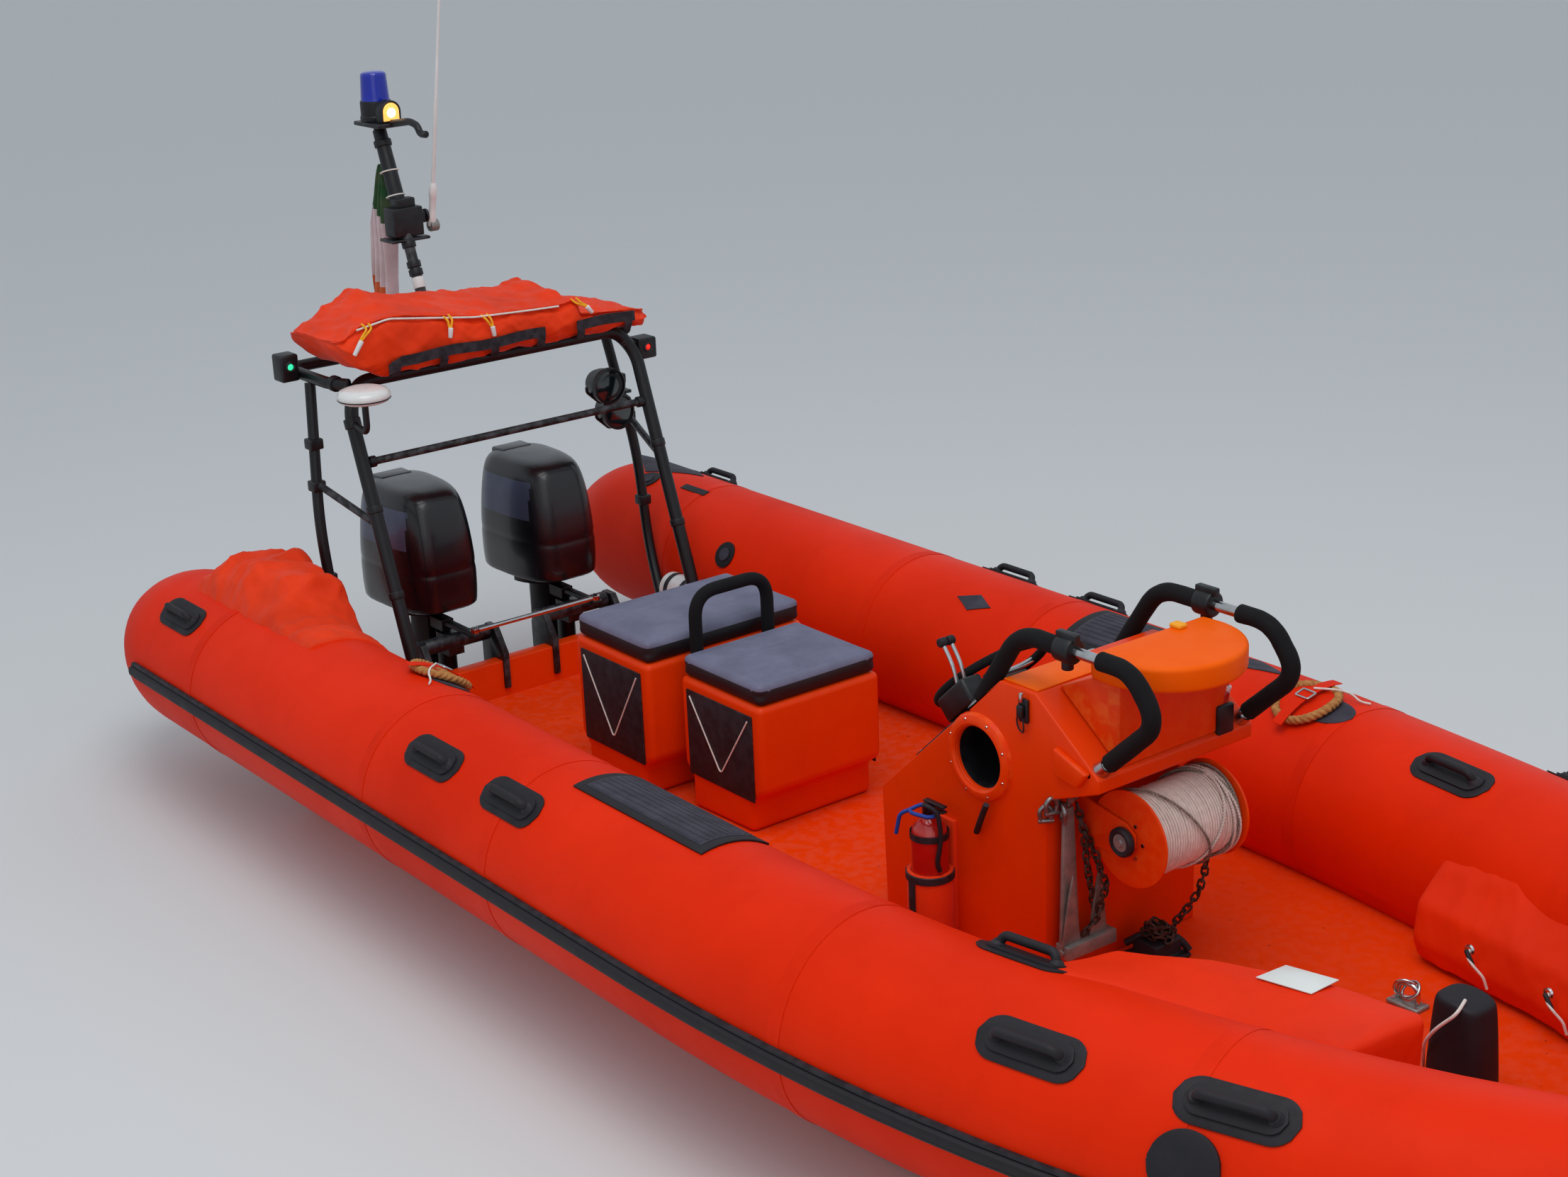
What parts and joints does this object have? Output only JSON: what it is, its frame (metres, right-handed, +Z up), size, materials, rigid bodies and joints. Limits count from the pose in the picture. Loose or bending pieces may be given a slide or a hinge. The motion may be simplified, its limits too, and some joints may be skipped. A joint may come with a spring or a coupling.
{
  "type": "inshore rescue boat",
  "caption": "Rigid inflatable rescue boat with orange air tubes, deep-V hull, helm console, warp reel, gantry with light mast and twin tilting, steering outboard engines.",
  "frame": {"origin": "on the centreline at the waterline, near the middle of the boat's length", "axes": "+X towards the bow, +Y to port, +Z up"},
  "size_m": [7.4096, 2.71, 4.0198],
  "materials": {
    "amber_lens": "translucent",
    "blue_lens": "translucent",
    "cushion_grey": "padded vinyl",
    "dark_steel": "weathered",
    "deck_orange": "non-slip painted deck",
    "engine_black": "painted cowl",
    "engine_metal": "painted casting",
    "fabric_orange": "proofed woven cover",
    "flag": "woven bunting",
    "foam_black": "soft foam sleeve",
    "frame_black": "powder-coated tube",
    "galvanised": "galvanised, dull",
    "instrument_black": "matt",
    "moulding_orange": "moulded and painted glass-fibre laminate",
    "red": "gloss enamel",
    "rope": "laid polyester",
    "rubber_black": "matt moulded rubber",
    "rubber_grey": "ribbed rubber",
    "steel": "polished stainless steel",
    "tube_orange": "coated fabric, satin, lightly dirty",
    "white": "gloss"
  },
  "bodies": {
    "boat": {"hull": "moulding_orange", "deck": "deck_orange", "transom": "moulding_orange", "sponson_port": "tube_orange", "rubbing_strake_port": "rubber_black", "step_pad_port": "rubber_grey", "grab_rail_port": "foam_black", "reel_bracket_port": "moulding_orange", "gantry_aft_leg_port": "frame_black", "nav_light_port": "instrument_black", "outboard_clamp_port": "engine_metal", "sponson_starboard": "tube_orange", "rubbing_strake_starboard": "rubber_black", "step_pad_starboard": "rubber_grey", "grab_rail_starboard": "foam_black", "reel_bracket_starboard": "moulding_orange", "gantry_aft_leg_starboard": "frame_black", "nav_light_starboard": "instrument_black", "outboard_clamp_starboard": "engine_metal", "console": "moulding_orange", "console_hood": "moulding_orange", "instrument_dash": "instrument_black", "throttle_control": "instrument_black", "anchor": "galvanised", "anchor_chain": "dark_steel", "anchor_chock": "rubber_black", "fire_extinguisher": "red", "extinguisher_holder": "fabric_orange", "crew_seat_pod": "moulding_orange", "crew_cushion": "cushion_grey", "helm_seat_pod": "moulding_orange", "helm_cushion": "cushion_grey", "seat_hoop": "frame_black", "samson_post": "rubber_black", "deck_ring": "steel", "bow_pouch_starboard": "fabric_orange", "bow_pouch_port": "fabric_orange", "quarter_bag": "fabric_orange", "canister": "white", "gantry_hoop": "frame_black", "gantry_rack": "frame_black", "righting_bag": "fabric_orange", "search_lamps": "instrument_black", "satellite_dome": "white"},
    "wheel": {"steering_wheel": "instrument_black"},
    "reel": {"rope_reel": "rope"},
    "mast": {"light_mast": "frame_black", "blue_beacon": "blue_lens", "amber_lamp": "amber_lens", "ensign": "flag"},
    "whip": {"whip_aerial": "white"},
    "tie_bar": {"steering_tie_bar": "steel"},
    "engine_mount_port": {"outboard_swivel_port": "engine_metal"},
    "engine_port": {"outboard_leg_port": "engine_metal", "outboard_cowl_port": "engine_black"},
    "screw_port": {"propeller_port": "dark_steel"},
    "engine_mount_starboard": {"outboard_swivel_starboard": "engine_metal"},
    "engine_starboard": {"outboard_leg_starboard": "engine_metal", "outboard_cowl_starboard": "engine_black"},
    "screw_starboard": {"propeller_starboard": "dark_steel"}
  },
  "joints": [
    {"name": "tilt_port", "type": "hinge", "parent": "boat", "child": "engine_mount_port", "pos_m": [-2.545, 0.27, 0.48], "axis": [0, 1, 0], "range_deg": [0, 65]},
    {"name": "steer_port", "type": "hinge", "parent": "engine_mount_port", "child": "engine_port", "pos_m": [-2.62, 0.27, 0.3], "axis": [0, 0, 1], "range_deg": [-30, 30]},
    {"name": "screw_turn_port", "type": "hinge", "parent": "engine_port", "child": "screw_port", "pos_m": [-2.99, 0.27, -0.45], "axis": [1, 0, 0], "continuous": true},
    {"name": "tilt_starboard", "type": "hinge", "parent": "boat", "child": "engine_mount_starboard", "pos_m": [-2.545, -0.27, 0.48], "axis": [0, 1, 0], "range_deg": [0, 65]},
    {"name": "steer_starboard", "type": "hinge", "parent": "engine_mount_starboard", "child": "engine_starboard", "pos_m": [-2.62, -0.27, 0.3], "axis": [0, 0, 1], "range_deg": [-30, 30]},
    {"name": "screw_turn_starboard", "type": "hinge", "parent": "engine_starboard", "child": "screw_starboard", "pos_m": [-2.99, -0.27, -0.45], "axis": [1, 0, 0], "continuous": true},
    {"name": "tie_bar_pivot", "type": "hinge", "parent": "engine_port", "child": "tie_bar", "pos_m": [-2.395, 0.27, 0.555], "axis": [0, 0, 1], "range_deg": [-30, 30]},
    {"name": "wheel_turn", "type": "hinge", "parent": "boat", "child": "wheel", "pos_m": [0.15682, 0, 1.02152], "axis": [-0.6783, 0, 0.7348], "range_deg": [-540, 540]},
    {"name": "reel_turn", "type": "hinge", "parent": "boat", "child": "reel", "pos_m": [0.88, 0, 0.783], "axis": [0, 1, 0], "continuous": true},
    {"name": "mast_fold", "type": "hinge", "parent": "boat", "child": "mast", "pos_m": [-2.9735, -0.03, 1.61], "axis": [0, -1, 0], "range_deg": [0, 70]},
    {"name": "whip_fold", "type": "hinge", "parent": "mast", "child": "whip", "pos_m": [-3.096, 0.09, 1.94211], "axis": [0, 1, 0], "range_deg": [0, 77]}
  ],
  "couplings": [
    {"joint": "tilt_starboard", "follows": "tilt_port", "ratio": 1},
    {"joint": "steer_starboard", "follows": "steer_port", "ratio": 1},
    {"joint": "tie_bar_pivot", "follows": "steer_port", "ratio": -1},
    {"joint": "wheel_turn", "follows": "steer_port", "ratio": -18}
  ]
}
